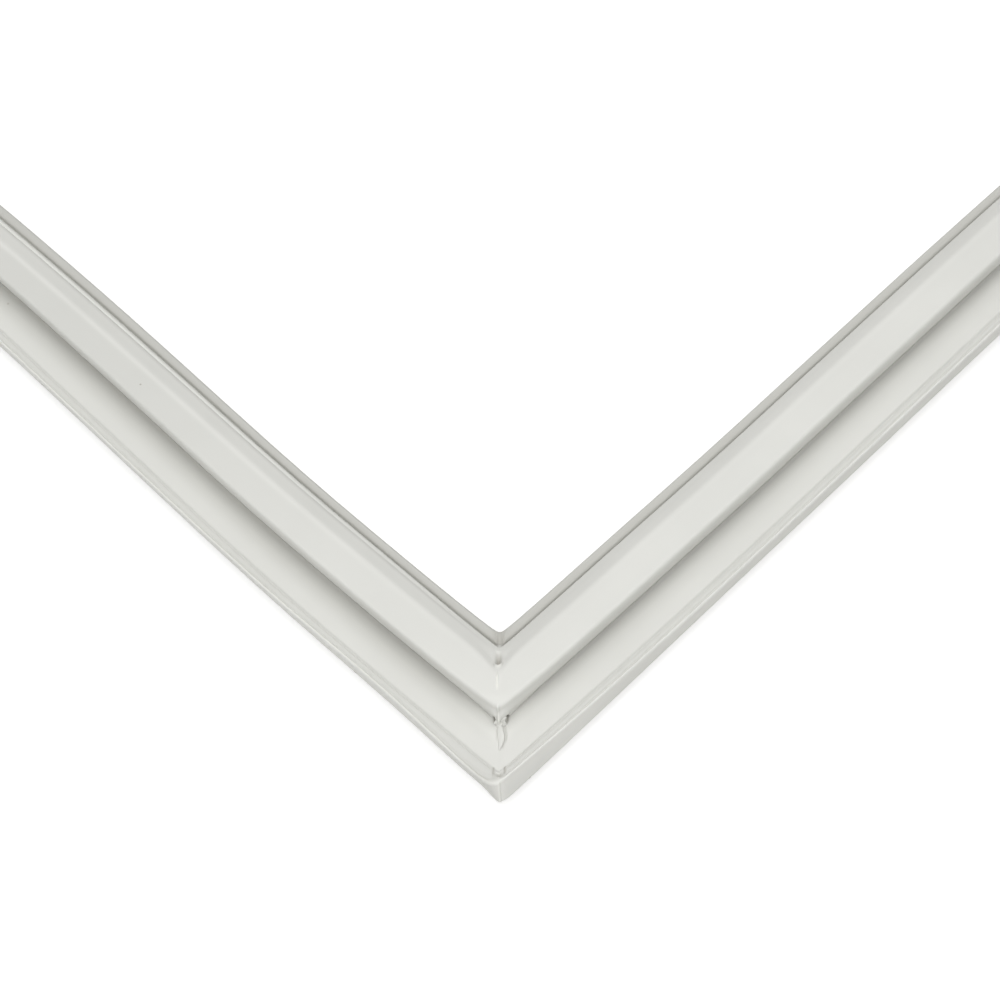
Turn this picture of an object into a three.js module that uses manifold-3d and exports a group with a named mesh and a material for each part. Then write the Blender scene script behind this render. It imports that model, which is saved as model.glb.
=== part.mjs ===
// Refrigerator door gasket: a soft vinyl extrusion welded into a rectangular loop, with magnets inside.
// Units are millimetres. The loop lies flat with its magnet face up, and z = 0 is the tip of the dart.

import * as THREE from 'three';
import { mergeVertices } from 'three/addons/utils/BufferGeometryUtils.js';
import Module from 'manifold-3d';

// Loop, measured outside the lips at its corners
const LOOP_X = 660;
const LOOP_Y = 710;
const WAIST_X = 4.2; // how far the sides that run along X bend inward at their middle
const WAIST_Y = 12.3; // the same for the sides that run along Y
const STEPS_PER_SIDE = 14;
const ROUND_STEPS = 2; // straight pieces in each rounded corner of a section
const MOST_SET_BACK = 0.45; // share of an edge that a rounded corner may use up
const WELD = 1e-4; // vertices closer than this are one

// Magnet strip and the pocket that holds it
const MAGNET_WIDTH = 9;
const MAGNET_THICK = 1.5;
const MAGNET_END_GAP = 6; // from the inner corner of the loop to the strip's end
const MAGNET_CLEARANCE = 0.3;
const POCKET_WALL = 1;
const FACE_WALL = 0.8;
const FACE_ROUND = 0.8;

// Bellows: the cell under the pocket, the bevel beside it and the bulge along the inner edge
const SLOT_HEIGHT = 1.5; // gap between the flange and the overhanging pocket
const SLOT_DEPTH = 5.7;
const CELL_HEIGHT = 2.1;
const CELL_WALL = 1;
const BEVEL_RUN = 8;
const BEVEL_START = 4.7; // height where the bevel begins, above the flange
const BULGE_WIDTH = 3.4;
const BULGE_HEIGHT = 4.5;
const BULGE_ROUND = 1.5;
const TOE_ROUND = 0.6;
const CREASE_DEPTH = 0.9; // crease between the bulge and the bevel
const CREASE_WIDTH = 1.1;
const CREASE_ROUND = 0.4;

// Flange, groove, bead and the lip that turns down around the door's edge
const FLANGE_THICK = 1.5;
const FLANGE_WIDTH = 11.5;
const GROOVE_WIDTH = 0.8;
const GROOVE_DEPTH = 0.5;
const BEAD_WIDTH = 3.5;
const EDGE_ROUND = 0.5;
const LIP_THICK = 1.2;
const LIP_DROP = 6.5;

// Barbed dart that pushes into the door's groove
const DART_OFFSET = 1.7; // from the web under the pocket to the dart's middle
const DART_DEPTH = 9;
const STEM_WIDTH = 2;
const STEM_LENGTH = 2;
const BARB_REACH = 2; // how far a barb stands out from the stem
const BARB_PITCH = 2.7;
const BARB_HOOK = 0.4;
const BARB_EDGE = 0.5;
const TIP_WIDTH = 1.6;
const RELIEF_MARGIN = 1; // the relief beside the stem runs this far past the barbs
const RELIEF_DEPTH = 0.3;

// Bleed holes, one pair at the middle of each side
const VENT_RADIUS = 1.2;
const VENT_SIDES = 12;
const CUT_MARGIN = 0.4; // how far a cutter runs past the wall it pierces

const VINYL = new THREE.MeshStandardMaterial({ color: 0xe0dfda, roughness: 0.5, metalness: 0 });
const FERRITE = new THREE.MeshStandardMaterial({ color: 0x38322d, roughness: 0.7, metalness: 0 });

// Places across the section: u runs outward from the inner edge, h upward from the flange's top
const PARTITION_U = BULGE_WIDTH + BEVEL_RUN;
const POCKET_IN_U = PARTITION_U + POCKET_WALL;
const POCKET_OUT_U = POCKET_IN_U + MAGNET_WIDTH + 2 * MAGNET_CLEARANCE;
const BOX_OUT_U = POCKET_OUT_U + POCKET_WALL;
const GROOVE_U = BOX_OUT_U + FLANGE_WIDTH;
const SECTION_WIDTH = GROOVE_U + BEAD_WIDTH;
const WEB_OUT_U = BOX_OUT_U - SLOT_DEPTH;
const WEB_IN_U = WEB_OUT_U - CELL_WALL;
const DART_U = WEB_OUT_U + DART_OFFSET;
const CELL_FLOOR_H = SLOT_HEIGHT + CELL_WALL;
const CELL_ROOF_H = CELL_FLOOR_H + CELL_HEIGHT;
const POCKET_FLOOR_H = CELL_ROOF_H + POCKET_WALL;
const POCKET_ROOF_H = POCKET_FLOOR_H + MAGNET_THICK + 2 * MAGNET_CLEARANCE;
const FACE_H = POCKET_ROOF_H + FACE_WALL;
const FLANGE_Z = DART_DEPTH + FLANGE_THICK;

// Corner of a section outline: a point, and the radius that rounds it
const corner = (u, h, radius = 0) => ({ point: new THREE.Vector2(u, h), radius });

// Outline through the corners, each with a radius rounded by a short curve
function outline(corners) {
  const shape = new THREE.Shape();
  corners.forEach((at, i) => {
    const before = corners[(i + corners.length - 1) % corners.length].point;
    const after = corners[(i + 1) % corners.length].point;
    const share = (toward) => Math.min(MOST_SET_BACK, at.radius / at.point.distanceTo(toward));
    const setBack = (toward) => at.point.clone().lerp(toward, share(toward));
    const start = setBack(before);
    const end = setBack(after);
    if (i === 0) {
      shape.moveTo(start.x, start.y);
    } else {
      shape.lineTo(start.x, start.y);
    }
    if (at.radius > 0) {
      shape.quadraticCurveTo(at.point.x, at.point.y, end.x, end.y);
    }
  });
  shape.closePath();
  const points = shape.getPoints(ROUND_STEPS);
  return points.filter((point, i) => point.distanceTo(points[(i + 1) % points.length]) > WELD);
}

// Half of the dart, from the relief beside its root to its tip, as distances from the dart's middle
function dartFlank() {
  const stem = STEM_WIDTH / 2;
  const barb = stem + BARB_REACH;
  const first = -FLANGE_THICK - STEM_LENGTH;
  const second = first - BARB_PITCH;
  const relief = barb + RELIEF_MARGIN;
  return [
    [relief, -FLANGE_THICK],
    [relief, RELIEF_DEPTH - FLANGE_THICK],
    [stem, RELIEF_DEPTH - FLANGE_THICK],
    [stem, first],
    [barb, first + BARB_HOOK],
    [barb, first + BARB_HOOK - BARB_EDGE],
    [stem, second],
    [barb, second + BARB_HOOK],
    [barb, second + BARB_HOOK - BARB_EDGE],
    [TIP_WIDTH / 2, -FLANGE_Z],
  ];
}

// Outer skin of the extrusion, counter-clockwise from the toe of the inner bulge
function skinOutline() {
  const flank = dartFlank();
  const grooveHalf = GROOVE_WIDTH / 2;
  const lipInner = SECTION_WIDTH - LIP_THICK;
  return outline([
    corner(0, -FLANGE_THICK, TOE_ROUND),
    ...flank.map(([reach, h]) => corner(DART_U - reach, h)),
    ...[...flank].reverse().map(([reach, h]) => corner(DART_U + reach, h)),
    corner(lipInner, -FLANGE_THICK),
    corner(lipInner, -LIP_DROP),
    corner(SECTION_WIDTH, -LIP_DROP, EDGE_ROUND),
    corner(SECTION_WIDTH, 0, EDGE_ROUND),
    corner(GROOVE_U + grooveHalf, 0),
    corner(GROOVE_U, -GROOVE_DEPTH),
    corner(GROOVE_U - grooveHalf, 0),
    corner(WEB_OUT_U, 0),
    corner(WEB_OUT_U, SLOT_HEIGHT),
    corner(BOX_OUT_U, SLOT_HEIGHT, FACE_ROUND),
    corner(BOX_OUT_U, FACE_H, FACE_ROUND),
    corner(PARTITION_U, FACE_H, FACE_ROUND),
    corner(BULGE_WIDTH + CREASE_WIDTH / 2, BEVEL_START, CREASE_ROUND),
    corner(BULGE_WIDTH, BEVEL_START - CREASE_DEPTH),
    corner(BULGE_WIDTH - CREASE_WIDTH / 2, BULGE_HEIGHT, CREASE_ROUND),
    corner(0, BULGE_HEIGHT, BULGE_ROUND),
  ]);
}

// Hollow cell of the bellows, under the bevel and under the magnet pocket
function cellOutline() {
  const slope = (FACE_H - BEVEL_START) / (BEVEL_RUN - CREASE_WIDTH / 2);
  const roofDrop = CELL_WALL * Math.hypot(1, slope);
  const bevelH = (u) => BEVEL_START + (u - BULGE_WIDTH - CREASE_WIDTH / 2) * slope;
  const leftU = BULGE_WIDTH + CELL_WALL / 2;
  const crestU = PARTITION_U - CELL_WALL / 2;
  return outline([
    corner(leftU, 0),
    corner(WEB_IN_U, 0),
    corner(WEB_IN_U, CELL_FLOOR_H),
    corner(POCKET_OUT_U, CELL_FLOOR_H),
    corner(POCKET_OUT_U, CELL_ROOF_H),
    corner(PARTITION_U, CELL_ROOF_H),
    corner(PARTITION_U, bevelH(crestU) - roofDrop),
    corner(crestU, bevelH(crestU) - roofDrop),
    corner(leftU, BEVEL_START - CREASE_DEPTH - CELL_WALL),
  ]);
}

// Pocket that the magnet strips lie in
function pocketOutline() {
  return outline([
    corner(POCKET_IN_U, POCKET_FLOOR_H),
    corner(POCKET_OUT_U, POCKET_FLOOR_H),
    corner(POCKET_OUT_U, POCKET_ROOF_H),
    corner(POCKET_IN_U, POCKET_ROOF_H),
  ]);
}

// The four sides, counter-clockwise: where the inner edge starts, where it runs, its length and waist
const INNER_X = LOOP_X - 2 * SECTION_WIDTH;
const INNER_Y = LOOP_Y - 2 * SECTION_WIDTH;
const SIDES = [
  { name: 'front', start: [-INNER_X / 2, -INNER_Y / 2], run: [1, 0], length: INNER_X, waist: WAIST_X },
  { name: 'right', start: [INNER_X / 2, -INNER_Y / 2], run: [0, 1], length: INNER_Y, waist: WAIST_Y },
  { name: 'back', start: [INNER_X / 2, INNER_Y / 2], run: [-1, 0], length: INNER_X, waist: WAIST_X },
  { name: 'left', start: [-INNER_X / 2, INNER_Y / 2], run: [0, -1], length: INNER_Y, waist: WAIST_Y },
];

// Point of the loop at distance s along a side, u out from the inner edge and h above the flange.
// The side bends inward by half the waist times 1 - cos(2 pi s / length), which is level at both corners.
function onSide(side, s, u, h) {
  const along = THREE.MathUtils.clamp(s / side.length, 0, 1);
  const bend = (side.waist / 2) * (1 - Math.cos(2 * Math.PI * along));
  const out = u - bend;
  const x = side.start[0] + side.run[0] * s + side.run[1] * out;
  const y = side.start[1] + side.run[1] * s - side.run[0] * out;
  return [x, y, h + FLANGE_Z];
}

// Closed surface through rings of points. Each ring joins the next, and the last one joins the first
// when the surface is closed; otherwise both ends are capped.
function skinGeometry(rings, closed) {
  const count = rings[0].length;
  const positions = rings.flat(2);
  const index = [];
  const last = closed ? rings.length : rings.length - 1;
  for (let i = 0; i < last; i += 1) {
    const here = i * count;
    const next = ((i + 1) % rings.length) * count;
    for (let j = 0; j < count; j += 1) {
      const k = (j + 1) % count;
      index.push(here + j, next + j, next + k, here + j, next + k, here + k);
    }
  }
  if (!closed) {
    const end = (rings.length - 1) * count;
    for (let j = 1; j < count - 1; j += 1) {
      index.push(0, j, j + 1, end, end + j + 1, end + j);
    }
  }
  const geometry = new THREE.BufferGeometry();
  geometry.setAttribute('position', new THREE.Float32BufferAttribute(positions, 3));
  geometry.setIndex(index);
  return geometry;
}

// The outline carried round the loop, with a 45 degree mitre at each corner
function loopGeometry(points) {
  const rings = [];
  for (const side of SIDES) {
    rings.push(points.map((point) => onSide(side, -point.x, point.x, point.y)));
    for (let i = 1; i < STEPS_PER_SIDE; i += 1) {
      const s = (side.length * i) / STEPS_PER_SIDE;
      rings.push(points.map((point) => onSide(side, s, point.x, point.y)));
    }
  }
  return skinGeometry(rings, true);
}

// The outline carried along one side, between two square ends
function stripGeometry(points, side, endGap) {
  const stops = [endGap];
  for (let i = 1; i < STEPS_PER_SIDE; i += 1) {
    stops.push((side.length * i) / STEPS_PER_SIDE);
  }
  stops.push(side.length - endGap);
  return skinGeometry(stops.map((s) => points.map((point) => onSide(side, s, point.x, point.y))), false);
}

// Upright round cutter that pierces a wall between two heights
function ventGeometry(side, u, low, high) {
  const height = high - low + 2 * CUT_MARGIN;
  const geometry = new THREE.CylinderGeometry(VENT_RADIUS, VENT_RADIUS, height, VENT_SIDES);
  geometry.rotateX(Math.PI / 2);
  const [x, y, z] = onSide(side, side.length / 2, u, (low + high) / 2);
  return geometry.translate(x, y, z);
}

const wasm = await Module();
wasm.setup();

function toSolid(geometry) {
  const bare = geometry.clone();
  bare.deleteAttribute('normal');
  bare.deleteAttribute('uv');
  const merged = mergeVertices(bare, WELD);
  const mesh = new wasm.Mesh({
    numProp: 3,
    vertProperties: new Float32Array(merged.attributes.position.array),
    triVerts: new Uint32Array(merged.index.array),
  });
  return new wasm.Manifold(mesh);
}

function toGeometry(solid) {
  const mesh = solid.getMesh();
  const geometry = new THREE.BufferGeometry();
  geometry.setAttribute('position', new THREE.BufferAttribute(new Float32Array(mesh.vertProperties), 3));
  geometry.setIndex(new THREE.BufferAttribute(new Uint32Array(mesh.triVerts), 1));
  geometry.computeVertexNormals();
  return geometry;
}

// Welded vinyl loop: the skin, less the bellows cell, the pocket and the bleed holes
function gasketProfile() {
  let solid = toSolid(loopGeometry(skinOutline()));
  solid = solid.subtract(toSolid(loopGeometry(cellOutline())));
  solid = solid.subtract(toSolid(loopGeometry(pocketOutline())));
  const cellU = (BULGE_WIDTH + PARTITION_U) / 2;
  const pocketU = (POCKET_IN_U + POCKET_OUT_U) / 2;
  for (const side of SIDES) {
    solid = solid.subtract(toSolid(ventGeometry(side, cellU, -FLANGE_THICK, 0)));
    solid = solid.subtract(toSolid(ventGeometry(side, pocketU, CELL_ROOF_H, POCKET_FLOOR_H)));
  }
  const mesh = new THREE.Mesh(toGeometry(solid), VINYL);
  mesh.name = 'gasket_profile';
  return mesh;
}

// Flexible magnet strip of one side, clear of the pocket's walls all round
function magnetStrip(side) {
  const low = POCKET_FLOOR_H + MAGNET_CLEARANCE;
  const inner = POCKET_IN_U + MAGNET_CLEARANCE;
  const points = outline([
    corner(inner, low),
    corner(inner + MAGNET_WIDTH, low),
    corner(inner + MAGNET_WIDTH, low + MAGNET_THICK),
    corner(inner, low + MAGNET_THICK),
  ]);
  const mesh = new THREE.Mesh(stripGeometry(points, side, MAGNET_END_GAP), FERRITE);
  mesh.name = `magnet_strip_${side.name}`;
  return mesh;
}

const gasket = new THREE.Group();
gasket.name = 'refrigerator_door_gasket';
gasket.add(gasketProfile());
for (const side of SIDES) {
  gasket.add(magnetStrip(side));
}

export default gasket;
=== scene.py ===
import bpy
import numpy as np
from mathutils import Matrix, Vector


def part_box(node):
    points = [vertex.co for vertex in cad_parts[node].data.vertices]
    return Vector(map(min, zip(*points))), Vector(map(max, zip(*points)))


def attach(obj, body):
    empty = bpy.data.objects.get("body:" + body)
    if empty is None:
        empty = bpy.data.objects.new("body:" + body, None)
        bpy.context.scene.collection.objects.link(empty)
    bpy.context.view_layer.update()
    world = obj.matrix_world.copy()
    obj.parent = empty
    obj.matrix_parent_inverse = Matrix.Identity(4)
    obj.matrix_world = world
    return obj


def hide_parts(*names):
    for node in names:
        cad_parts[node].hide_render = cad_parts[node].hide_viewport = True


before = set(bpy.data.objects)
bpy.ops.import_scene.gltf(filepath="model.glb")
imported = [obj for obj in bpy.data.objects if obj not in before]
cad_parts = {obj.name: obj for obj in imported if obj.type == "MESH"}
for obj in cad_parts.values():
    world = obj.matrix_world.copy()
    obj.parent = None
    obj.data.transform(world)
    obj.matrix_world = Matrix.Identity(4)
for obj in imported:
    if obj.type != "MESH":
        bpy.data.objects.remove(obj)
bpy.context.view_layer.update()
scene = bpy.context.scene
MM = 0.001


# Camera: it looks down on the front left corner of the loop, so that two sides run out of the picture.
# Its place is worked out from the tilt, turn and distance at which the photograph was taken.
SECTION_WIDTH = 38.0
loop_low, loop_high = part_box("gasket_profile")
INNER_X = (loop_high.x - loop_low.x) / MM - 2 * SECTION_WIDTH
INNER_Y = (loop_high.y - loop_low.y) / MM - 2 * SECTION_WIDTH
FLANGE_Z = 10.5  # height of the flange's top above the dart's tip

CAMERA_TILT = np.radians(37.96)  # from straight down
CAMERA_TURN = np.radians(6.79)
CAMERA_ROLL = np.radians(-8.31)
CAMERA_DISTANCE = 834.5
CAMERA_FOCAL_PIXELS = 2571.8
CAMERA_AIM = (-0.52, 55.42)  # on the flange's level: to the right of the inner corner, and behind it
IMAGE_PIXELS = 1000
SENSOR = 36.0


def corner_to_row(across, behind, up):
    """Direction or offset seen from the front left corner, as a row vector: the corner's diagonal is turned
    45 degrees, so x = (behind + across) / sqrt 2 and y = (behind - across) / sqrt 2."""
    return np.array([(behind + across) / 2**0.5, (behind - across) / 2**0.5, up])


sin_tilt, cos_tilt = np.sin(CAMERA_TILT), np.cos(CAMERA_TILT)
sin_turn, cos_turn = np.sin(CAMERA_TURN), np.cos(CAMERA_TURN)
camera_back = corner_to_row(sin_turn * sin_tilt, -cos_turn * sin_tilt, cos_tilt)
level_up = corner_to_row(-sin_turn * cos_tilt, cos_turn * cos_tilt, sin_tilt)
level_right = np.cross(level_up, camera_back)
camera_right = np.cos(CAMERA_ROLL) * level_right + np.sin(CAMERA_ROLL) * level_up
camera_up = -np.sin(CAMERA_ROLL) * level_right + np.cos(CAMERA_ROLL) * level_up
inner_corner = np.array([-INNER_X / 2, -INNER_Y / 2, FLANGE_Z])
camera_place = inner_corner + corner_to_row(*CAMERA_AIM, 0) + CAMERA_DISTANCE * camera_back

camera_data = bpy.data.cameras.new("camera")
camera_data.sensor_width = SENSOR
camera_data.lens = CAMERA_FOCAL_PIXELS / IMAGE_PIXELS * SENSOR
camera_data.clip_end = 20
camera = bpy.data.objects.new("camera", camera_data)
camera_axes = np.stack([camera_right, camera_up, camera_back, camera_place * MM], 1)
camera.matrix_world = Matrix([*camera_axes.tolist(), [0, 0, 0, 1]])
scene.collection.objects.link(camera)
scene.camera = camera


# Vinyl loop: one extrusion of soft white PVC, cut at 45 degrees and heat-welded at its four corners.
# Its section: a bulge, a bevel, the flat magnet pocket, a flange with a turned-down lip, and a barbed dart.
# The sides are not stiff, so they bend inward a little, the pocket leans and the lip tucks under.
FACE_HEIGHT = 8.5
BULGE_U = 3.4  # the crease between the bulge and the bevel
FACE_IN_U = 11.4
FACE_OUT_U = 23.0
WEB_U = 17.3
SLOT_HEIGHT = 1.5
GROOVE_U = 34.5
FLANGE_THICK = 1.5
LIP_THICK = 1.2
LIP_DROP = 6.5
DART_U = 19.0
STEM_HALF = 1.0
BARB_HALF = 3.0
TIP_HALF = 0.8
RELIEF_HALF = 4.0
RELIEF_DEPTH = 0.3
FIRST_BARB = -3.5
SECOND_BARB = -6.2
WAIST_X = 4.2
WAIST_Y = 12.3

half_dart = [
    (RELIEF_HALF, -FLANGE_THICK, 0.1),
    (RELIEF_HALF, RELIEF_DEPTH - FLANGE_THICK, 0.1),
    (STEM_HALF, RELIEF_DEPTH - FLANGE_THICK, 0.25),
    (STEM_HALF, FIRST_BARB, 0.2),
    (BARB_HALF, FIRST_BARB + 0.4, 0.15),
    (BARB_HALF, FIRST_BARB - 0.1, 0.15),
    (STEM_HALF, SECOND_BARB, 0.2),
    (BARB_HALF, SECOND_BARB + 0.4, 0.15),
    (BARB_HALF, SECOND_BARB - 0.1, 0.15),
    (TIP_HALF, -FLANGE_Z, 0.25),
]
section_corners = [
    (0.15, -FLANGE_THICK, 0.7),
    *[(DART_U - reach, h, r) for reach, h, r in half_dart],
    *[(DART_U + reach, h, r) for reach, h, r in reversed(half_dart)],
    (SECTION_WIDTH - LIP_THICK - 0.1, -FLANGE_THICK, 0.5),
    (SECTION_WIDTH - LIP_THICK - 0.1, -LIP_DROP, 0.35),
    (SECTION_WIDTH - 0.2, -LIP_DROP, 0.5),
    (SECTION_WIDTH, -3.6, 1.5),
    (SECTION_WIDTH, -0.3, 0.5),
    (SECTION_WIDTH - 0.35, 0.3, 0.3),
    (SECTION_WIDTH - 0.8, 0.3, 0.2),
    (SECTION_WIDTH - 1.15, -0.35, 0.2),
    (SECTION_WIDTH - 1.6, 0.05, 0.3),
    (GROOVE_U + 0.7, -0.15, 0.3),
    (GROOVE_U + 0.1, -0.62, 0.2),
    (GROOVE_U - 0.5, 0.0, 0.35),
    (WEB_U, 0.0, 0.3),
    (WEB_U, SLOT_HEIGHT, 0.3),
    (FACE_OUT_U - 1.1, SLOT_HEIGHT, 0.5),
    (FACE_OUT_U - 0.3, 3.6, 1.5),
    (FACE_OUT_U, 6.2, 1.2),
    (FACE_OUT_U - 0.3, FACE_HEIGHT - 0.03, 1.1),
    (FACE_IN_U + 5.5, FACE_HEIGHT + 0.03, 4.0),
    (FACE_IN_U - 0.2, FACE_HEIGHT - 0.03, 1.9),
    (9.05, 7.41, 0.1),
    (8.6, 7.18, 0.1),
    (6.0, 5.9, 0.15),
    (5.6, 5.71, 0.15),
    (5.2, 5.53, 0.15),
    (BULGE_U + 1.3, 5.25, 0.3),
    (BULGE_U + 0.55, 4.8, 0.25),
    (BULGE_U + 0.3, 2.7, 0.15),
    (BULGE_U - 0.1, 2.9, 0.25),
    (BULGE_U - 0.6, 4.05, 0.6),
    (0.9, 4.6, 0.9),
    (0.1, 3.7, 1.0),
    (0.0, 2.0, 0.8),
]


SMALL_RADIUS = 0.22  # a smaller corner is a plain chamfer
SUPPORT = 0.12  # length of the short part at each end of a stretch
UNDERSIDE = 0.4 - FLANGE_THICK


def rounded_section(corners, longest, longest_below):
    """Closed outline through the corners. A corner C becomes the curve (1 - t)^2 A + 2 t (1 - t) C + t^2 B,
    where A and B lie its radius away along the two edges; a larger radius gets more points.
    The straight stretches are split into parts no longer than the longest, with a short one at each end;
    those under the flange, where the welds leave no marks, into parts up to longest_below."""
    place = np.array([corner[:2] for corner in corners])
    radius = np.array([corner[2] for corner in corners])
    to_next = np.roll(place, -1, 0) - place
    length = np.hypot(*to_next.T)
    set_back = np.minimum(radius, 0.45 * np.minimum(length, np.roll(length, 1)))
    start = place - (set_back / np.roll(length, 1))[:, None] * np.roll(to_next, 1, 0)
    end = place + (set_back / length)[:, None] * to_next
    points = np.select([radius < SMALL_RADIUS, radius < 0.45, radius < 1.5], [2, 3, 5], 6)
    pieces = []
    for i in range(len(corners)):
        t = np.linspace(0, 1, points[i])[:, None]
        pieces.append((1 - t) ** 2 * start[i] + 2 * t * (1 - t) * place[i] + t**2 * end[i])
        goal = start[(i + 1) % len(corners)]
        stretch = np.hypot(*(goal - end[i]))
        step = longest_below if max(end[i][1], goal[1]) < UNDERSIDE else longest
        inner = np.linspace(0, 1, int(np.ceil(stretch / step)) + 1)[1:-1]
        if stretch > 4 * SUPPORT and radius[i] > SMALL_RADIUS:
            inner = np.concatenate([[SUPPORT / stretch], inner])
        if stretch > 4 * SUPPORT and radius[(i + 1) % len(corners)] > SMALL_RADIUS:
            inner = np.concatenate([inner, [1 - SUPPORT / stretch]])
        pieces.append(end[i] + inner[:, None] * (goal - end[i]))
    return np.concatenate(pieces)


def smooth(x):
    """Rises from 0 to 1 as x does: 3 x^2 - 2 x^3, held at both ends."""
    x = np.clip(x, 0, 1)
    return x * x * (3 - 2 * x)


def hill(x, middle, width):
    """Bell exp(-((x - middle) / width)^2)."""
    return np.exp(-(((x - middle) / width) ** 2))


def window(x, low, high, edge):
    """1 between low and high, falling smoothly to 0 over the edge outside them."""
    return smooth((x - low) / edge + 1) * smooth((high - x) / edge + 1)


section = rounded_section(section_corners, 1.0, 5.0)
section_u, section_h = section.T
ahead = np.roll(section, -1, 0) - np.roll(section, 1, 0)
section_out = np.stack([ahead[:, 1], -ahead[:, 0]], 1) / np.hypot(*ahead.T)[:, None]
arc = np.concatenate([[0], np.cumsum(np.hypot(*(np.roll(section, -1, 0) - section).T))])

# Each side: where the inner edge starts, which way it runs, its length and how far it bends inward; how far
# the pocket leans outward at its middle and its outer wall has slid inward; how far the lip tucks under; how
# much wider the bulge is, how deep the bevel's fold is, which also sets the painted shade along it, and how
# much painted shade darkens the face far from the welds
SIDES = [
    {"name": "front", "start": (-INNER_X / 2, -INNER_Y / 2), "run": (1, 0), "length": INNER_X,
     "waist": WAIST_X, "lean": -0.4, "slide": 0.0, "tuck": np.radians(4.5),
     "bulge": 0.5, "fold": 0.0, "haze": 0.15},
    {"name": "right", "start": (INNER_X / 2, -INNER_Y / 2), "run": (0, 1), "length": INNER_Y,
     "waist": WAIST_Y, "lean": 0.7, "slide": 0.2, "tuck": np.radians(8),
     "bulge": 0.2, "fold": 0.2, "haze": 0.3},
    {"name": "back", "start": (INNER_X / 2, INNER_Y / 2), "run": (-1, 0), "length": INNER_X,
     "waist": WAIST_X, "lean": -0.4, "slide": 0.1, "tuck": np.radians(6),
     "bulge": 0.3, "fold": 0.0, "haze": 0.2},
    {"name": "left", "start": (-INNER_X / 2, INNER_Y / 2), "run": (0, -1), "length": INNER_Y,
     "waist": WAIST_Y, "lean": 1.4, "slide": 0.4, "tuck": np.radians(10),
     "bulge": -0.05, "fold": 0.45, "haze": 0.62},
]
LIP_SPLAY = np.radians(12)  # how far the lip swings outward at a weld
LIP_SPREAD = 1.9  # how much wider the flange's edge is on the side that ends at a weld
START_REACH = 33.0
END_REACH = 7.0
SPREAD_REACH = 25.0
MITRE_BLEND = 60.0  # rings lie along the mitre at the weld, and square to the side this far from it
WELD_SPAN = 4.0
WELD_STEP = 0.22
GROWN_RINGS = 12
SIDE_STEP = 16.0


def ring_places(length):
    """Distances of the rings along a side: every WELD_STEP beside each weld, then further and further apart
    up to MITRE_BLEND, and about SIDE_STEP apart between."""
    near = np.arange(0, WELD_SPAN, WELD_STEP)
    grown = WELD_SPAN * (MITRE_BLEND / WELD_SPAN) ** (np.arange(GROWN_RINGS) / GROWN_RINGS)
    middle = np.linspace(MITRE_BLEND, length - MITRE_BLEND, int((length - 2 * MITRE_BLEND) / SIDE_STEP))
    end = np.concatenate([near, grown])
    return np.concatenate([end, middle, (length - end)[::-1][:-1]])


def on_side(side, s, u, h):
    """Points at distance s along a side, u out from the inner edge and h above the flange, in metres.
    The side bends inward by waist / 2 times 1 - cos(2 pi s / length), which is level at both corners."""
    bend = side["waist"] / 2 * (1 - np.cos(2 * np.pi * np.clip(s / side["length"], 0, 1)))
    run_x, run_y = side["run"]
    x = side["start"][0] + run_x * s + run_y * (u - bend)
    y = side["start"][1] + run_y * s - run_x * (u - bend)
    return np.stack([x, y, h + FLANGE_Z], -1) * MM


# Welds: v is the distance in mm from the mitre, negative on the side that ends there
WELD_GAIN = [1.0, 0.8, 1.15, 0.9]  # how strongly the marks stand out, corner by corner
EDGE_PULL = 1.2  # how far the flange's outer edge is drawn inward at a weld
EDGE_WAVE = 0.5  # how far it is again, further along the side that ends there
BASE_PULL = 0.8  # how far the lip's lower edge is
BEVEL_PULL = 1.4  # how far the bevel's outer edge is drawn outward
BEVEL_NUB = 0.3  # how much less at the mitre itself
WELD_BULGE = 0.4  # how much wider the bulge is at a weld
WELD_SLIDE = 0.45  # how far the pocket's outer wall is drawn inward
WELD_DROOP = 0.8  # how far the face's outer edge sinks at a weld
GOUGE_U = 5.8  # where the gouge down the bevel starts
NUB_U = 9.7  # the raised nub that it ends at
FOLD_U = 5.3  # the fold at the bevel's foot
FOOT_PITS = (-1.75, 2.05)  # v of the two pits at the wall's foot
BEAD_NOTCHES = (-2.0, 1.2)  # v of the two notches in the bead
FACE_RIDGE = -0.35  # v of the thin ridge across the face
WALL_RIDGE = -0.25  # v of the ridge down the wall
STRAND_EDGE = [(22.6, 1.0), (23.3, 1.23), (25.1, 1.56), (26.5, 1.85), (27.3, 1.5), (28.1, 0.5), (28.6, -0.15)]

# Painted shade, as shares: a grey shade and a deeper brownish shade
CORNER_LIGHT_REACH = 16  # mm
FAR_SHADE_REACH = 130  # mm
FACE_SHADE = 0.165
WALL_SHADE = 0.4
# Painted grey shade by u across the section: full on the bulge and at the wall's foot, fading over the flange
# that the pocket shades, heavier in the grooves, light on the bevel, the face and the crest
SHADE_PLACES = [0, 4.0, 4.2, 10, 11.5, 21.8, 22, 24, 26, 33.8, 34.3, 35, 36.2, 36.5, 37.1, 38]
SECTION_SHADE = [1.0, 1.0, 0.3, 0.3, FACE_SHADE, FACE_SHADE, 1.0, 0.85, 0.5, 0.45, 0.9, 0.7, 0.65, 0.9, 0.3, 0]
SHADE_LOWEST = -0.95  # below this height only the lip beside a weld has any
# Painted deep shade on the bulge, heaviest next to its crease
BULGE_SHADE_PLACES = [0.3, 1.2, 2.4, 3.0, 3.4]
BULGE_SHADE = [0.04, 0.16, 0.26, 0.2, 0.0]
CREST_GROOVE_U = 36.75


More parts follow.
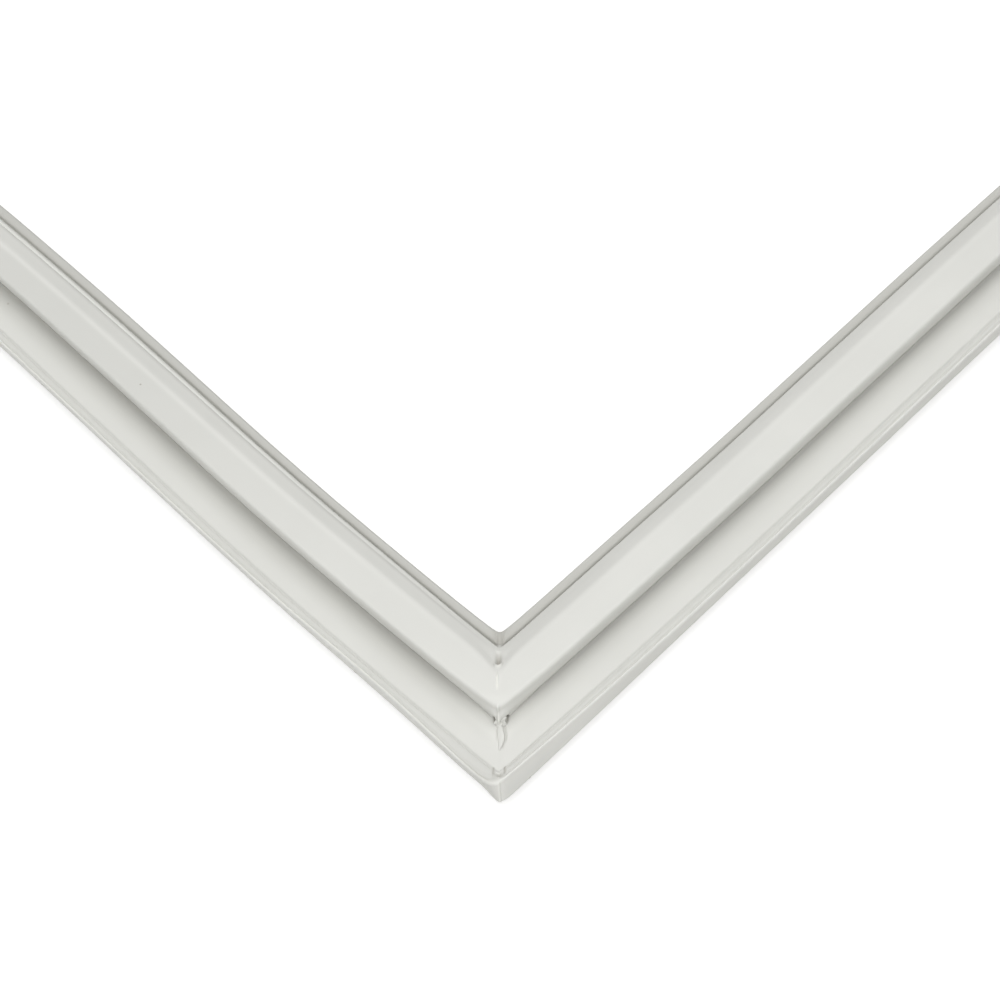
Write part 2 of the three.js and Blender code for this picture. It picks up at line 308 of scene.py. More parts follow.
def leaned(side, t, u, h):
    """Section points moved as the soft pocket leans: u grows by lean sin^2(pi t / length) times
    (h / face height)^1.5, and by 0.4 of that at the outer wall, which also slides inward. The crease moves
    out by the side's bulge, the inner edge of a side that leans outward swells inward, and the foot of the
    bevel has a fold that is deepest at the side's middle."""
    middle = (np.sin(np.pi * t / side["length"]) ** 2)[:, None]
    amount = side["lean"] * middle
    moved_u = u + amount * (np.clip(h, 0, None) / FACE_HEIGHT) ** 1.5 * (1 - 0.6 * smooth((u - 16) / 6))
    moved_u -= 0.6 * np.clip(amount, 0, None) * smooth((1.8 - u) / 1.5) * smooth(h + 1)
    left = side["length"] - t
    free = ((1 - np.exp(-t / 12)) * (1 - np.exp(-left / 12)))[:, None]
    moved_u += side["bulge"] * free * smooth((u - 1) / 1.5) * smooth((8 - u) / 3) * smooth(h)
    moved_u -= side["slide"] * free * window(u, 22, 24, 7) * smooth((h - 0.3) / 1.0)
    fold = side["fold"] * free * (0.35 + 1.2 * middle) * hill(u, FOLD_U, 0.3)
    return moved_u, h - fold * smooth(h - 4)


def tucked(side, t, u, h):
    """Lip points swung about the flange's edge: at depth d below it u falls by d sin(angle) and h rises by
    d (1 - cos(angle)). The angle is the tuck far from the welds and -LIP_SPLAY at them, blended by
    exp(-(distance / reach)^2). Beside the weld where the side ends, the edge also lies LIP_SPREAD further
    out."""
    left = side["length"] - t
    near = np.exp(-((t / START_REACH) ** 2)) + np.exp(-((left / END_REACH) ** 2))
    swing = (side["tuck"] * (1 - near) - LIP_SPLAY * near)[:, None]
    angle = swing * window(u, 36.4, 40, 0.3) * smooth((-0.3 - h) / 1.2)
    depth = np.clip(-0.3 - h, 0, None)
    spread = LIP_SPREAD * np.exp(-((left / SPREAD_REACH) ** 3)) * (1 - np.exp(-left / 2.5))
    moved_u = u - depth * np.sin(angle) + spread[:, None] * smooth((u - 35) / 1.8)
    return moved_u, h + depth * (1 - np.cos(angle))


def weld_relief(u, h, v):
    """Height of the heat weld's marks along the surface normal, as a sum of bells of v, the distance from the
    mitre (negative on the side that ends there), each within its own window of the section."""
    bulge = window(u, 0.8, 3.0, 0.5) * smooth(h)
    bevel = window(u, 4.2, 8.0, 0.4) * smooth(h - 3.5)
    gouge = smooth((u - GOUGE_U) / 1.6) * smooth((9.0 - u) / 0.35) * smooth(h - 5)
    face = window(u, 10.6, 22.2, 0.4) * smooth((h - 7.0) * 2)
    wall = window(u, 20.5, 24, 0.3) * window(h, 1.0, 7.8, 0.6)
    foot = window(u, 20.5, 24, 0.5) * window(h, 0.9, 2.1, 0.5)
    flange = window(u, 24.5, 33.0, 1.0) * window(h, -0.1, 0.1, 0.2)
    bead = window(u, 34.2, 36.4, 0.4) * window(h, -1, 0.3, 0.2)
    lip = window(u, 35, 40, 0.3) * window(h, -6, -0.2, 0.5)
    marks = -0.3 * (hill(v, 1.0, 0.35) + hill(v, -1.0, 0.35)) * bulge
    marks += 0.12 * hill(v, -0.2, 0.4) * bevel + 0.2 * hill(v, -0.3, 0.7) * hill(u, 5.4, 0.6) * bevel
    marks -= 1.1 * hill(v, -0.1, 0.75) * gouge
    marks += 0.35 * hill(v, 0.1, 0.9) * hill(u, NUB_U, 0.45) * smooth(h - 6)
    marks += 0.3 * hill(v, FACE_RIDGE, 0.28) * window(u, 12.2, 16.6, 0.8) * face
    marks += 0.1 * hill(v, 0, 2.4) * window(u, 17.2, 21.8, 1.5) * face
    marks += 0.6 * hill(v, WALL_RIDGE, 0.4) * wall
    marks -= 0.7 * sum(hill(v, pit, 0.3) for pit in FOOT_PITS) * foot
    marks += 0.08 * hill(v, 0.1, 0.5) * flange
    marks -= 0.4 * (hill(v, BEAD_NOTCHES[0], 0.22) + hill(v, BEAD_NOTCHES[1], 0.25)) * bead
    marks += 0.2 * hill(v, -0.4, 0.9) * bead
    marks += 0.2 * hill(v, -0.4, 0.4) * lip
    return marks


def weld_shade_and_highlight(u, h, v):
    """How much painted deep shade and painted highlight the vinyl gets beside the welds, each 0 to 1. Painted
    shade in brownish grey darkens the pits at the wall's foot, the gouge, the bead's notches, the crease and
    the bulge, the sides of the nub, the groove by the crest, and the flange along both edges of the flash, as
    the flash's painted shadow; the crest is darker beside the weld on the side that ends there. Painted
    highlights lighten the nub, the ridges across the face, down the wall and on the lip, and the flange's
    crest all the way along. STRAND_EDGE gives the flash's edge as v by u."""
    low = window(h, -1, 0.4, 0.2)
    edge = np.interp(u, *np.array(STRAND_EDGE).T)
    gouge = smooth((u - GOUGE_U) / 1.8) * smooth((9.1 - u) / 0.35) * smooth(h - 5)
    foot = window(u, 20.5, 22.8, 0.4) * window(h, -0.2, 2.3, 0.4)
    # Painted deep shade in the pits, the gouge, the notches and the crease, and the flash's painted shadow
    # along its edges
    scorched = 0.7 * sum(hill(v, pit, 0.35) for pit in FOOT_PITS) * foot
    scorched += 0.7 * hill(v, -0.1, 0.85) * gouge
    scorched += 0.35 * (hill(v, -1.4, 0.3) + hill(v, 1.2, 0.3)) * hill(u, NUB_U, 0.5) * smooth(h - 6)
    notched = hill(v, BEAD_NOTCHES[0], 0.25) + hill(v, BEAD_NOTCHES[1], 0.28)
    scorched += 0.45 * notched * window(u, 34.2, 36.0, 0.4) * low
    scorched += 0.5 * hill(v, -0.4, 1.3) * hill(u, 36.3, 0.35) * low
    scorched += 0.3 * hill(v, edge + 0.1, 0.25) * window(u, 22.8, 28.4, 0.5) * low
    scorched += 0.3 * hill(v, -1.2, 0.2) * window(u, 24.3, 26.6, 0.6) * low
    scorched += 0.45 * (hill(v, -1.3, 0.5) + hill(v, 1.3, 0.5)) * hill(u, 3.5, 0.5) * smooth(h - 1)
    scorched += 0.25 * hill(v, 0, 2.2) * window(u, 0.3, 3.0, 0.5) * smooth(h)
    scorched += 0.15 * hill(v, -4, 5) * (v < 0) * hill(u, 37.45, 0.5) * smooth((h + 0.6) * 2)
    # Painted highlights on the nub, the ridges and the crest
    pale = 0.6 * hill(v, 0.1, 0.9) * hill(u, NUB_U, 0.45) * smooth(h - 6)
    pale += 0.75 * hill(v, FACE_RIDGE, 0.3) * window(u, 12.8, 17, 0.8) * smooth(h - 7)
    pale += 0.5 * hill(v, WALL_RIDGE, 0.35) * window(u, 20.5, 24, 0.3) * window(h, 1.0, 5.5, 1.5)
    pale += 0.3 * hill(v, -0.5, 0.4) * window(u, 35, 40, 0.3) * window(h, -6.5, -0.2, 0.5)
    pale += 0.16 * hill(u, SECTION_WIDTH - 0.55, 0.35) * smooth(h * 4)
    return np.clip(scorched, 0, 1), np.clip(pale, 0, 1)


def painted_section_shade(side, u, h, v):
    """How much painted grey shade and how much painted deep shade the vinyl gets, each 0 to 1. The grey shade
    follows the section through SHADE_PLACES, and is WALL_SHADE on the pocket's wall and FACE_SHADE on the
    face;
    the wall's foot and the flange get less of it beside the welds, where the corner is lit from both sides,
    by exp(-(distance / CORNER_LIGHT_REACH)^2), the face gets darker away from them, by
    1 - exp(-distance / FAR_SHADE_REACH), and the lip is darker close to them. The deep shade lies on the
    bulge towards its crease, along the bevel's fold, in the grooves and at the wall's foot."""
    distance = np.abs(v) * 2**0.5
    near = np.exp(-((distance / CORNER_LIGHT_REACH) ** 2))
    film = np.interp(u, SHADE_PLACES, SECTION_SHADE) + 0 * v
    film = np.where((h > 1.4) & (u > 12), np.where(h < 7.0, WALL_SHADE, FACE_SHADE), film)
    film = np.where(h < SHADE_LOWEST, 0.0, film)
    # Less painted shade at the wall's foot and on the flange beside the welds, where the corner is lit from
    # both sides
    lighter_at_welds = 0.85 * window(u, 20, 25, 3) + 0.35 * window(u, 27, 33, 2)
    film -= near * film * lighter_at_welds * window(h, -0.1, 0.2, 0.3)
    # More painted shade on the face far from the welds, and on the lip close to them
    film += side["haze"] * (1 - np.exp(-distance / FAR_SHADE_REACH)) * window(u, 13.5, 22, 2) * smooth(h - 7)
    film += np.where(v < 0, 0.45, 0.25) * near * window(u, 36.9, 40, 0.2) * window(h, -7, -0.6, 0.4)
    # Painted deep shade: the bulge towards its crease, the bevel's fold, the grooves, and the wall's foot far
    # from the welds
    crease_shade = np.interp(u, BULGE_SHADE_PLACES, BULGE_SHADE) * smooth(h)
    crease_shade += 0.5 * side["fold"] * (1 - near) * hill(u, FOLD_U + 0.6, 0.3) * smooth(h - 4)
    crease_shade += 0.06 * hill(u, GROOVE_U, 0.3) + 0.1 * hill(u, CREST_GROOVE_U, 0.3) * window(h, -0.9, 0.1, 0.1)
    crease_shade += 0.25 * side["haze"] * (1 - near) * window(u, 21, 25, 6) * window(h, -0.1, 3.5, 0.5)
    return film, crease_shade


def from_weld(index, t):
    """Distance v from the nearer mitre plane, negative where the side ends, and that weld's gain."""
    from_start = t < SIDES[index]["length"] / 2
    v = np.where(from_start, t, t - SIDES[index]["length"])[:, None] / 2**0.5
    return v, np.where(from_start, WELD_GAIN[index], WELD_GAIN[(index + 1) % 4])[:, None]


def welded(index, t, u, h):
    """Section points beside the welds: the mitre is rounded by drawing u inward by
    (sqrt(v^2 + r^2) - |v|) / sqrt 2, the edges are drawn in or out by bells of v, the face's outer edge
    sinks, the crease, the groove and the gap under the wall are filled, and the weld's marks are added along
    the section's normal."""
    v, gain = from_weld(index, t)
    ends = v < 0
    wall_top = window(u, 22, 24, 7) * smooth((h - 2.5) / 4)
    r = 0.45 + 0.75 * smooth((2 - u) / 2) + 2.1 * wall_top + 0.45 * smooth((u - 33) / 2)
    moved_u = u - (np.sqrt(v**2 + r**2) - np.abs(v)) / 2**0.5
    crease = smooth((u - 0.5) / 1.5) * smooth((8 - u) / 3) * smooth(h)
    moved_u += WELD_BULGE * hill(v, 0, np.where(ends, 20, 10)) * crease
    bevel_end = BEVEL_PULL * hill(v, -0.5, 4) - BEVEL_NUB * hill(v, 0.1, 0.9)
    moved_u += bevel_end * smooth((u - 6) / 2.5) * smooth((18 - u) / 6) * smooth(h - 4)
    moved_u -= WELD_SLIDE * hill(v, 0, 7) * wall_top
    raised = np.clip((h + LIP_DROP) / 6, 0, 1)
    edge = smooth((u - np.where(ends, 34.2, 32)) / np.where(ends, 2.8, 4.5)) * (h > -7)
    pull = EDGE_PULL * hill(v, 0, np.where(ends, 3, 14)) + EDGE_WAVE * hill(v, -24, 13)
    moved_u -= pull * edge * raised
    moved_u -= BASE_PULL * hill(v, -4, 3) * window(u, 36.4, 40, 1.5) * (1 - raised)
    level = np.interp(u, [BULGE_U - 0.8, BULGE_U + 0.9], [4.1, 5.0])
    filled = window(u, BULGE_U - 0.8, BULGE_U + 0.9, 0.1) * smooth(h - 1)
    moved_h = h + hill(v, 0, 1.2) * np.clip(level - h, 0, None) * filled
    groove = hill(u, GROOVE_U + 0.1, 0.35) * window(h, -1, -0.2, 0.3)
    moved_h += 0.6 * smooth((2.0 - np.abs(v + 0.4)) / 0.6) * groove
    moved_h -= WELD_DROOP * hill(v, 0, 2.6) * smooth((u - 20) / 2.5) * smooth((h - 4) / 3)
    moved_h -= 1.3 * hill(v, 0, 6) * window(u, 17.8, 22.3, 0.4) * window(h, 1.2, 1.9, 0.3)
    marks = gain * weld_relief(u, h, v)
    return moved_u + marks * section_out[:, 0], moved_h + marks * section_out[:, 1]


def waves(points):
    """Gentle unevenness of a soft part, in mm: a sum of sines of the place, a few centimetres long."""
    x, y = points[..., 0] / MM, points[..., 1] / MM
    rise = 0.10 * np.sin(x / 23 + 1.3) * np.cos(y / 29 + 0.4) + 0.07 * np.sin((x + y) / 13 + 0.9)
    drift = 0.12 * np.sin(y / 37 + x / 41 + 2.1) + 0.06 * np.sin((x - y) / 17)
    return rise, drift


def loop_rings():
    """Points of all rings, in metres, each ring's distance round the loop, and each point's painted grey
    shade, painted highlight and painted deep shade. A ring at distance t lies at s = t + u (to_end -
    to_start), so the last ones lie along the mitre."""
    rings, travel, film, pale, scorch = [], [], [], [], []
    done = 0.0
    for index, side in enumerate(SIDES):
        t = ring_places(side["length"])
        flat_u, flat_h = section_u + 0 * t[:, None], section_h + 0 * t[:, None]
        u, h = welded(index, t, flat_u, flat_h)
        u, h = tucked(side, t, u, h)
        u, h = leaned(side, t, u, h)
        to_start = 1 - smooth(t / MITRE_BLEND)
        to_end = 1 - smooth((side["length"] - t) / MITRE_BLEND)
        s = t[:, None] + u * (to_end - to_start)[:, None]
        rise, drift = waves(on_side(side, s, u, h))
        free = (1 - to_start - to_end)[:, None] * smooth((h + 1.5) / 1.5)
        rings.append(on_side(side, s, u + drift * free, h + rise * smooth((h + 1.5) / 1.5)))
        v, gain = from_weld(index, t)
        scorched, highlight_amount = weld_shade_and_highlight(flat_u, flat_h, v)
        grey_shade, crease_shade = painted_section_shade(side, flat_u, flat_h, v)
        film.append(grey_shade)
        pale.append(highlight_amount * gain)
        scorch.append(scorched * gain + crease_shade)
        travel.append(done + t)
        done += side["length"]
    tones = {"film": np.concatenate(film), "pale": np.concatenate(pale), "scorch": np.concatenate(scorch)}
    return np.concatenate(rings), np.concatenate(travel + [[done]]), tones


def grid_piece(name, points, travel, across):
    """Mesh object of a grid of points closed both ways, with a UV map of metres along and across."""
    rows, columns = points.shape[:2]
    i = np.arange(rows)[:, None]
    j = np.arange(columns)
    next_i, next_j = (i + 1) % rows, (j + 1) % columns
    faces = [i * columns + j, next_i * columns + j, next_i * columns + next_j, i * columns + next_j]
    faces = np.stack(faces, -1).reshape(-1, 4)
    mesh = bpy.data.meshes.new(name)
    mesh.vertices.add(rows * columns)
    mesh.vertices.foreach_set("co", points.reshape(-1))
    mesh.loops.add(faces.size)
    mesh.loops.foreach_set("vertex_index", faces.reshape(-1))
    mesh.polygons.add(len(faces))
    mesh.polygons.foreach_set("loop_start", np.arange(0, faces.size, 4))
    mesh.polygons.foreach_set("use_smooth", np.ones(len(faces), bool))
    along = np.stack([travel[i], travel[i + 1], travel[i + 1], travel[i]], -1) + 0 * j[:, None]
    side = np.stack([across[j], across[j], across[j + 1], across[j + 1]], -1) + 0 * i[..., None]
    mesh.uv_layers.new(name="UVMap").data.foreach_set("uv", (np.stack([along, side], -1) * MM).reshape(-1))
    mesh.update()
    mesh.validate()
    piece = bpy.data.objects.new(name, mesh)
    scene.collection.objects.link(piece)
    return piece


def set_tone(piece, name, tone):
    """Stores a tone, 0 to 1 at each point, as a point attribute."""
    attribute = piece.data.attributes.new(name, "FLOAT", "POINT")
    attribute.data.foreach_set("value", np.clip(tone, 0, 1).astype(np.float32).reshape(-1))


loop_points, loop_travel, loop_tones = loop_rings()
vinyl_loop = grid_piece("vinyl_loop", loop_points, loop_travel, arc)
for name, tone in loop_tones.items():
    set_tone(vinyl_loop, name, tone)


def linear(hex_colour):
    """Linear RGBA of an sRGB hex colour: ((c + 0.055) / 1.055)^2.4, or c / 12.92 below 0.04045."""
    channel = np.array([int(hex_colour[i : i + 2], 16) for i in (1, 3, 5)]) / 255
    straight = np.where(channel <= 0.04045, channel / 12.92, ((channel + 0.055) / 1.055) ** 2.4)
    return (*straight, 1.0)


def add_node(tree, kind, links=(), **settings):
    """Adds a node. A setting is an attribute of the node, or an input socket by its name or number; each link
    is (output socket, name or number of this node's input)."""
    node = tree.nodes.new(kind)
    for key, value in settings.items():
        if hasattr(node, key):
            setattr(node, key, value)
        else:
            socket = key[1:] if key.startswith("_") else key
            node.inputs[int(socket) if socket.isdigit() else socket.replace("_", " ")].default_value = value
    for output, socket in links:
        tree.links.new(output, node.inputs[socket])
    return node


def new_material(name):
    """Empty material with its node tree and output node."""
    material = bpy.data.materials.new(name)
    material.use_nodes = True
    material.node_tree.nodes.clear()
    output = material.node_tree.nodes.new("ShaderNodeOutputMaterial")
    return material, material.node_tree, output


# Soft plasticised PVC, extruded: a satin off-white with faint clouding, a few specks of dirt, and hair-thin
# die lines along its length. Scales are per metre: clouds 36 mm wide, specks 62 mm apart, 2.2 lines to a mm
CLOUD_SCALE = 28.0
SPECK_SCALE = 16.0
SPECK_SIZE = 0.006  # of the spacing
DIE_LINE_SCALE = (6.0, 2200.0, 1.0)
soft_pvc, tree, output = new_material("extruded_soft_pvc")
place = add_node(tree, "ShaderNodeTexCoord")
flat = add_node(tree, "ShaderNodeUVMap", uv_map="UVMap")
links = [(place.outputs["Object"], "Vector")]
clouds = add_node(tree, "ShaderNodeTexNoise", links, Scale=CLOUD_SCALE, Detail=3.0)
tint = add_node(tree, "ShaderNodeValToRGB", [(clouds.outputs["Fac"], "Fac")])
tint.color_ramp.elements[0].position = 0.35
tint.color_ramp.elements[0].color = linear("#E0E0DB")
tint.color_ramp.elements[1].position = 0.65
tint.color_ramp.elements[1].color = linear("#E4E4DF")
# Painted light stored at each point: a grey painted shade, a painted highlight and a brownish painted deep
# shade, mixed over the vinyl's colour in that order
shade_amount = add_node(tree, "ShaderNodeAttribute", attribute_name="film")
highlight_amount = add_node(tree, "ShaderNodeAttribute", attribute_name="pale")
scorched = add_node(tree, "ShaderNodeAttribute", attribute_name="scorch")
mix = {"kind": "ShaderNodeMix", "data_type": "RGBA"}
links = [(shade_amount.outputs["Fac"], "Factor"), (tint.outputs["Color"], 6)]
shaded_colour = add_node(tree, links=links, _7=linear("#C9C9C4"), **mix)
links = [(highlight_amount.outputs["Fac"], "Factor"), (shaded_colour.outputs[2], 6)]
paler = add_node(tree, links=links, _7=linear("#F8F7F0"), **mix)
links = [(scorched.outputs["Fac"], "Factor"), (paler.outputs[2], 6)]
deep_shaded_colour = add_node(tree, links=links, _7=linear("#8E8A80"), **mix)
uv = flat.outputs["UV"]
specks = add_node(tree, "ShaderNodeTexVoronoi", [(uv, "Vector")], voronoi_dimensions="2D", Scale=SPECK_SCALE)
links = [(specks.outputs["Distance"], 0)]
speck = add_node(tree, "ShaderNodeMath", links, operation="LESS_THAN", _1=SPECK_SIZE)
links = [(speck.outputs[0], "Factor"), (deep_shaded_colour.outputs[2], 6)]
specked = add_node(tree, links=links, _7=linear("#B4B1A8"), **mix)
stretch = add_node(tree, "ShaderNodeMapping", [(uv, "Vector")], Scale=DIE_LINE_SCALE)
links = [(stretch.outputs["Vector"], "Vector")]
die_lines = add_node(tree, "ShaderNodeTexNoise", links, Scale=1.0, Detail=2.0)
links = [(die_lines.outputs["Fac"], "Height")]
bump = add_node(tree, "ShaderNodeBump", links, Strength=0.12, Distance=0.05 * MM)
shader = add_node(
    tree,
    "ShaderNodeBsdfPrincipled",
    [(specked.outputs[2], "Base Color"), (bump.outputs["Normal"], "Normal")],
    Roughness=0.6,
    IOR=1.45,
)
tree.links.new(shader.outputs["BSDF"], output.inputs["Surface"])
vinyl_loop.data.materials.append(soft_pvc)
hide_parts("gasket_profile")
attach(vinyl_loop, "root")


# Weld flash: vinyl squeezed out of the heated mitre, left untrimmed where the pocket's wall meets the flange.
# Each corner has a ragged nub across the wall's foot and a curled strand that lies on the flange.
FOOT_U = 22.3
# Nub: points across the mitre, outward along it, and half its height. Strand: across, outward, up, half width
APRON = [(-1.55, -1.0, 0.5), (-1.3, -0.85, 1.4), (-0.95, -1.0, 1.6), (-0.5, -0.75, 2.0), (-0.15, -0.65, 2.1),
         (0.3, -0.85, 1.9), (0.7, -0.6, 2.0), (1.05, -0.85, 1.7), (1.4, -0.75, 1.6), (1.65, -0.9, 0.6)]
APRON_UP = 1.75
APRON_HALF_THICK = 0.28
APRON_ROLL = np.radians(66)
STRAND = [(-0.2, -0.7, 0.9, 0.5), (-0.15, 0.2, 0.6, 0.8), (-0.1, 1.7, 0.5, 1.0), (0.2, 3.8, 0.5, 1.2),
          (0.2, 5.3, 0.45, 1.05), (0.0, 6.7, 0.35, 0.7), (-0.25, 7.8, 0.26, 0.4), (-0.3, 8.8, 0.14, 0.12)]
STRAND_ROLL = np.radians(20)  # its right-hand edge stands up
STRAND_HALF_THICK = 0.14
STRAND_SHADE = 0.4
FLASH_SIDES = 14
FLASH_AT_CORNERS = [(1, 1.0), (-1, 0.7), (1, 0.85), (-1, 1.1)]  # mirrored or not, and how long the strand is


def ribbon(path, half_width, half_thick, roll, sides):
    """Closed tube along a path of (across, outward, up) points. A smooth curve is drawn through them, and
    each ring is an ellipse in the plane across the curve, turned by the roll; both ends close on a small
    ring."""
    steps = np.linspace(0, len(path) - 1, 5 * len(path))
    knots = np.arange(len(path))
    cell = np.clip(steps.astype(int), 0, len(path) - 2)
    f = (steps - cell)[:, None]
    padded = np.vstack([2 * path[0] - path[1], path, 2 * path[-1] - path[-2]])
    a, b, c, d = (padded[cell + k] for k in range(4))
    curve = 0.5 * (2 * b + (c - a) * f + (2 * a - 5 * b + 4 * c - d) * f**2 + (3 * b - a - 3 * c + d) * f**3)
    along = np.gradient(curve, axis=0)
    along /= np.linalg.norm(along, axis=1)[:, None]
    side = np.cross(along, [0, 0, 1.0])
    side /= np.linalg.norm(side, axis=1)[:, None]
    up = np.cross(side, along)
    closing = np.sqrt(np.clip(1 - np.abs(2 * steps / steps[-1] - 1) ** 8, 0.01, 1))
    wide = np.interp(steps, knots, half_width) * closing
    thick = half_thick * closing
    angle = np.linspace(0, 2 * np.pi, sides, endpoint=False)
    across = wide[:, None] * np.cos(angle)
    lift = thick[:, None] * np.sin(angle)
    turned_side = np.cos(roll) * side + np.sin(roll) * up
    turned_up = np.cos(roll) * up - np.sin(roll) * side
    return curve[:, None] + across[..., None] * turned_side[:, None] + lift[..., None] * turned_up[:, None]


def at_corner(index, points, mirror):
    """Points given as (across the mitre, outward along it, up from the flange) in mm, placed at a corner, in
    metres."""
    run = np.array([*SIDES[index]["run"], 0.0])
    out = np.array([run[1], -run[0], 0.0])
    corner = np.array([*SIDES[index]["start"], FLANGE_Z])
    across, outward, up = np.moveaxis(points, -1, 0)[..., None]
    placed = corner + mirror * across * (run + out) / 2**0.5 + outward * (out - run) / 2**0.5
    return (placed + up * np.array([0, 0, 1.0])) * MM


def capped_tubes(name, tubes, flipped):
    """One mesh of tubes, each a grid of rings by sides, with the two end rings closed by flat caps."""
    corners, faces, first = [], [], 0
    for tube, flip in zip(tubes, flipped):
        rows, sides = tube.shape[:2]
        i, j = np.meshgrid(np.arange(rows - 1), np.arange(sides), indexing="ij")
        k = (j + 1) % sides
        here, after = i * sides, (i + 1) * sides
        quads = np.stack([here + j, here + k, after + k, after + j], -1).reshape(-1, 4)
        ends = [list(range(sides))[::-1], [(rows - 1) * sides + n for n in range(sides)]]
        for face in quads.tolist() + ends:
            face = [first + n for n in face]
            faces.append(face if flip else face[::-1])
        corners.append(tube.reshape(-1, 3))
        first += rows * sides
    mesh = bpy.data.meshes.new(name)
    mesh.from_pydata(np.concatenate(corners).tolist(), [], faces)
    mesh.polygons.foreach_set("use_smooth", np.ones(len(faces), bool))
    mesh.update()
    piece = bpy.data.objects.new(name, mesh)
    scene.collection.objects.link(piece)
    return piece


tubes, flipped = [], []
apron = np.array(APRON)
strand = np.array(STRAND)
for index, (mirror, stretch) in enumerate(FLASH_AT_CORNERS):
    ragged = APRON_UP + 0.12 * np.sin(7 * apron[:, 0] + index)
    apron_path = np.stack([apron[:, 0], FOOT_U * 2**0.5 + apron[:, 1], ragged], 1)
    strand_path = np.stack([strand[:, 0], FOOT_U * 2**0.5 + strand[:, 1] * stretch, strand[:, 2]], 1)
    nub = ribbon(apron_path, apron[:, 2], APRON_HALF_THICK, APRON_ROLL, FLASH_SIDES)
    curl = ribbon(strand_path, strand[:, 3], STRAND_HALF_THICK, STRAND_ROLL, FLASH_SIDES)
    tubes += [at_corner(index, nub, mirror), at_corner(index, curl, mirror)]
    flipped += [mirror < 0] * 2
weld_flash = capped_tubes("weld_flash", tubes, flipped)
# Painted shade on the flash: the strand's raised right-hand rim is darkened, by STRAND_SHADE at most, and all
# of the flash takes an even 0.2 of the grey painted shade
rim = np.maximum(0, np.cos(np.linspace(0, 2 * np.pi, FLASH_SIDES, endpoint=False)))
shades = 4 * [0.0, STRAND_SHADE]
edge_shade = np.concatenate([np.tile(rim**12 * shade, len(tube)) for tube, shade in zip(tubes, shades)])
set_tone(weld_flash, "film", 0.2 + 0 * edge_shade)
set_tone(weld_flash, "scorch", edge_shade)
weld_flash.data.materials.append(soft_pvc)
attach(weld_flash, "root")


# Magnet strips: flexible bars of rubber-bonded ferrite, pushed into the pocket before the corners are welded.
# They lie hidden inside, one to each side, and keep their CAD solids.
GRAIN_SCALE = 900.0  # per metre: grains 1.1 mm wide
ferrite, tree, output = new_material("bonded_ferrite")
place = add_node(tree, "ShaderNodeTexCoord")
links = [(place.outputs["Object"], "Vector")]
grain = add_node(tree, "ShaderNodeTexNoise", links, Scale=GRAIN_SCALE, Detail=2.0)
tint = add_node(tree, "ShaderNodeValToRGB", [(grain.outputs["Fac"], "Fac")])
tint.color_ramp.elements[0].color = linear("#2E2925")
tint.color_ramp.elements[1].color = linear("#453E38")
shader = add_node(tree, "ShaderNodeBsdfPrincipled", [(tint.outputs["Color"], "Base Color")], Roughness=0.75)
tree.links.new(shader.outputs["BSDF"], output.inputs["Surface"])
for side in SIDES:
    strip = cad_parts[f"magnet_strip_{side['name']}"]
    strip.data.materials.clear()
    strip.data.materials.append(ferrite)


# Studio: a pale table under a wide soft lamp, a panel of light on the camera's side, a plain white surround.
# The table and the surround show white to the eye, in gloss and through glass, and light the part plainly.
FLOOR_HALF = 4.0
floor_mesh = bpy.data.meshes.new("floor")
floor_corners = [(x * FLOOR_HALF, y * FLOOR_HALF, 0) for x, y in ((-1, -1), (1, -1), (1, 1), (-1, 1))]
floor_mesh.from_pydata(floor_corners, [], [(0, 1, 2, 3)])
floor = bpy.data.objects.new("floor", floor_mesh)
scene.collection.objects.link(floor)


def seen_directly(tree):
    """1 for camera, glossy and transmission rays, 0 for the rest: the largest of the three."""
    rays = add_node(tree, "ShaderNodeLightPath").outputs
    larger = {"kind": "ShaderNodeMath", "operation": "MAXIMUM"}
    seen = add_node(tree, links=[(rays["Is Camera Ray"], 0), (rays["Is Glossy Ray"], 1)], **larger)
    return add_node(tree, links=[(seen.outputs[0], 0), (rays["Is Transmission Ray"], 1)], **larger)


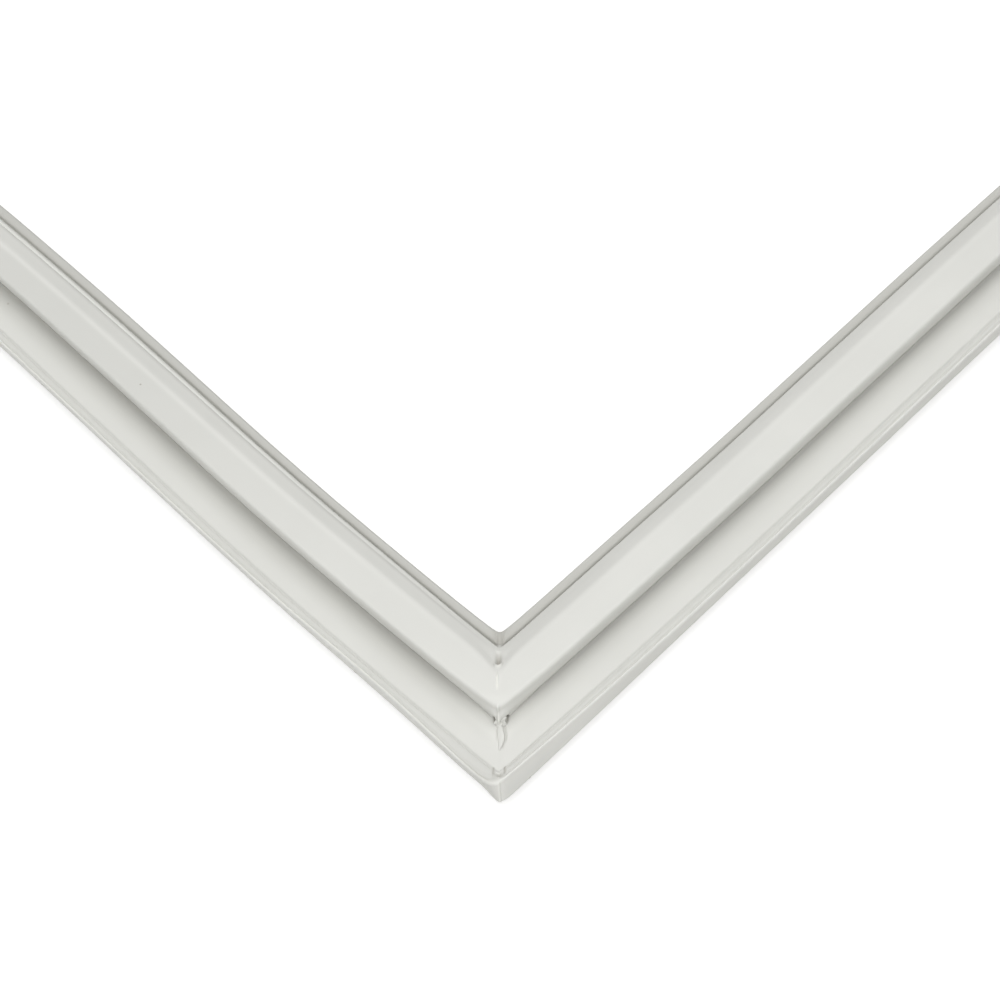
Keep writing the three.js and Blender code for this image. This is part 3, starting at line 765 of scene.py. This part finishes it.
# Painted table top: matt white, which shows as pale grey under the lamp, so some glow lifts it to white
white_table, tree, output = new_material("white_table")
seen = seen_directly(tree)
TABLE_GLOW = 0.56
glow = add_node(tree, "ShaderNodeMath", [(seen.outputs[0], 0)], operation="MULTIPLY", _1=TABLE_GLOW)
matt = add_node(tree, "ShaderNodeBsdfDiffuse", Color=linear("#DADAD8"))
glow = add_node(tree, "ShaderNodeEmission", [(glow.outputs[0], "Strength")])
both = add_node(tree, "ShaderNodeAddShader", [(matt.outputs[0], 0), (glow.outputs[0], 1)])
tree.links.new(both.outputs[0], output.inputs["Surface"])
floor_mesh.materials.append(white_table)

world = bpy.data.worlds.new("surround")
scene.world = world
world.use_nodes = True
tree = world.node_tree
tree.nodes.clear()
output = add_node(tree, "ShaderNodeOutputWorld")
seen = seen_directly(tree)
FILL = 0.08
fill = add_node(tree, "ShaderNodeBackground", Strength=FILL)
white = add_node(tree, "ShaderNodeBackground", Strength=1.0)
links = [(seen.outputs[0], 0), (fill.outputs[0], 1), (white.outputs[0], 2)]
mixed = add_node(tree, "ShaderNodeMixShader", links)
tree.links.new(mixed.outputs[0], output.inputs["Surface"])

LAMP_PLACE = (-0.28, -0.30, 1.2)
LAMP_SIZE = 2.8
LAMP_POWER = 32.5
lamp_data = bpy.data.lights.new("overhead_softbox", "AREA")
lamp_data.shape = "SQUARE"
lamp_data.size = LAMP_SIZE
lamp_data.energy = LAMP_POWER
lamp = bpy.data.objects.new("overhead_softbox", lamp_data)
lamp.location = LAMP_PLACE
lamp.rotation_euler = (0, 0, np.radians(45))
scene.collection.objects.link(lamp)

PANEL_PLACE = (-1.35, -1.37, 0.75)
PANEL_TILT = np.radians(62)  # from straight down
PANEL_WIDTH = 2.4
PANEL_TALL = 1.4
PANEL_POWER = 11.0
panel_data = bpy.data.lights.new("front_panel", "AREA")
panel_data.shape = "RECTANGLE"
panel_data.size = PANEL_WIDTH
panel_data.size_y = PANEL_TALL
panel_data.energy = PANEL_POWER
panel = bpy.data.objects.new("front_panel", panel_data)
panel.location = PANEL_PLACE
panel.rotation_euler = (PANEL_TILT, 0, np.radians(-45))
scene.collection.objects.link(panel)

scene.view_settings.view_transform = "Standard"
